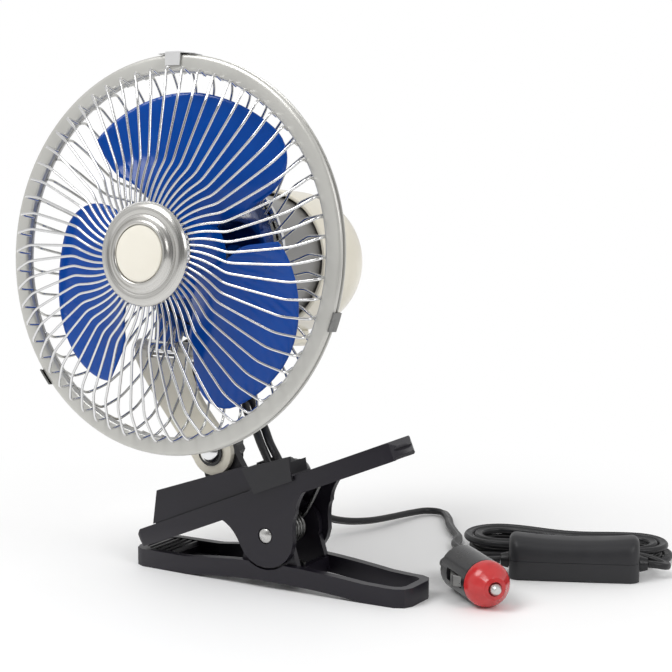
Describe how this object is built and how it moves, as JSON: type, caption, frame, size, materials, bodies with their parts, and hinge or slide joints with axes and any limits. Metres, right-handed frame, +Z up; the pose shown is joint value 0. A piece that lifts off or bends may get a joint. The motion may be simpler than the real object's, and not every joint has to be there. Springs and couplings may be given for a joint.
{
  "type": "clip fan",
  "caption": "Small round clip-on fan: wire guard, bladed impeller, motor in a bell housing, bent arm, spring clamp, coiled lead, in-line switch and lighter-socket plug.",
  "frame": {"origin": "middle of the flat foot under the tip of the lower jaw, on the surface the clamp stands on", "axes": "+X along the clamp from the jaw tip to the grips, +Y away from the face of the fan, +Z up"},
  "size_m": [0.2839, 0.2022, 0.243],
  "materials": {
    "black_plastic": "fine sparked grain, satin",
    "dark_gloss": "polished, near black",
    "chrome_plate": "bright plate",
    "dark_wire": "bright plate in shade",
    "spring_steel": "drawn and zinc plated",
    "brass": "turned",
    "grey_can": "grey satin",
    "magnet": "dark sintered ferrite",
    "armature": "laminations with copper winding",
    "cream_paint": "cream stove enamel, semi-gloss",
    "blue_plastic": "polished, slightly clear blue",
    "ivory_badge": "polished ivory",
    "red_clear": "clear red, polished",
    "fuse_glass": "clear tube",
    "cord_black": "satin black sheath"
  },
  "bodies": {
    "clamp_base": {"lower_jaw": "black_plastic", "pivot_pin": "chrome_plate", "pivot_nut": "spring_steel", "torsion_spring": "spring_steel", "cord_lead": "cord_black", "cord_hank": "cord_black", "cord_hank_to_box": "cord_black", "cord_box_to_plug": "cord_black", "box_bottom_shell": "black_plastic", "box_top_shell": "black_plastic", "box_relief_in": "cord_black", "box_relief_out": "cord_black", "plug_barrel": "dark_gloss", "plug_nose": "red_clear", "fuse": "fuse_glass", "pin_spring": "spring_steel", "plug_relief": "cord_black"},
    "clamp_lever": {"upper_jaw": "black_plastic", "mount_block": "black_plastic", "lead_box": "black_plastic", "cord_gland": "cord_black"},
    "swing_arm": {"arm": "cream_paint", "swing_screw": "chrome_plate", "swing_washer": "dark_gloss", "nod_pin": "chrome_plate", "nod_nut": "spring_steel", "lead_saddle": "dark_gloss", "motor_lead_1": "cord_black", "motor_lead_2": "cord_black"},
    "lock_knob": {"swing_knob": "dark_gloss"},
    "fan_head": {"motor_bracket": "chrome_plate", "motor_front_bell": "dark_gloss", "motor_can": "grey_can", "front_bush": "brass", "rear_bush": "brass", "magnet_left": "magnet", "magnet_right": "magnet", "rear_housing": "cream_paint", "motor_screw_1": "spring_steel", "motor_screw_2": "spring_steel", "motor_screw_3": "spring_steel", "front_guard": "chrome_plate", "rear_guard": "dark_wire", "rim_clip_1": "chrome_plate", "rim_clip_2": "chrome_plate", "rim_clip_3": "chrome_plate", "front_cap": "chrome_plate", "badge_disc": "ivory_badge", "cap_plate": "dark_gloss", "motor_lead_top_1": "cord_black", "motor_lead_top_2": "cord_black"},
    "rotor": {"impeller": "blue_plastic", "impeller_nut": "brass", "armature": "armature", "motor_shaft": "spring_steel"},
    "tip_pin": {"centre_pin": "brass"},
    "contact_near": {"side_contact_near": "spring_steel"},
    "contact_far": {"side_contact_far": "spring_steel"},
    "rocker": {"box_rocker": "dark_gloss"}
  },
  "joints": [
    {"name": "clamp_open", "type": "hinge", "parent": "clamp_base", "child": "clamp_lever", "pos_m": [0.06, 0, 0.0247], "axis": [0, 1, 0], "range_deg": [0, 28], "stiffness_Nm_per_rad": 1.5, "springref_deg": -22.92, "deforming": ["torsion_spring", "cord_lead"]},
    {"name": "arm_swing", "type": "hinge", "parent": "clamp_lever", "child": "swing_arm", "pos_m": [0.024, -0.006, 0.058], "axis": [0, 1, 0], "range_deg": [-30, 30], "deforming": ["motor_lead_1", "motor_lead_2"]},
    {"name": "knob_turn", "type": "hinge", "parent": "swing_arm", "child": "lock_knob", "pos_m": [0.024, 0.0037, 0.058], "axis": [0, 1, 0], "continuous": true},
    {"name": "head_nod", "type": "hinge", "parent": "swing_arm", "child": "fan_head", "pos_m": [-0.0045, -0.0032, 0.104], "axis": [1, 0, 0], "range_deg": [-30, 4], "deforming": ["motor_lead_top_1", "motor_lead_top_2"]},
    {"name": "fan_spin", "type": "hinge", "parent": "fan_head", "child": "rotor", "pos_m": [0.0179, -0.028, 0.1513], "axis": [0, 0.9934, -0.1149], "continuous": true},
    {"name": "tip_pin_slide", "type": "slide", "parent": "clamp_base", "child": "tip_pin", "axis": [-0.7627, 0.6468, 0], "range_m": [0, 0.0025], "stiffness_N_per_m": 900, "springref_m": -0.002, "deforming": ["pin_spring"]},
    {"name": "contact_near_press", "type": "slide", "parent": "clamp_base", "child": "contact_near", "axis": [0.6468, 0.7627, 0], "range_m": [0, 0.0012], "stiffness_N_per_m": 800, "springref_m": -0.0015},
    {"name": "contact_far_press", "type": "slide", "parent": "clamp_base", "child": "contact_far", "axis": [-0.6468, -0.7627, 0], "range_m": [0, 0.0012], "stiffness_N_per_m": 800, "springref_m": -0.0015},
    {"name": "rocker_tilt", "type": "hinge", "parent": "clamp_base", "child": "rocker", "pos_m": [0.16972, 0.07962, 0.01305], "axis": [0, 0, 1], "range_deg": [-4, 4]}
  ]
}
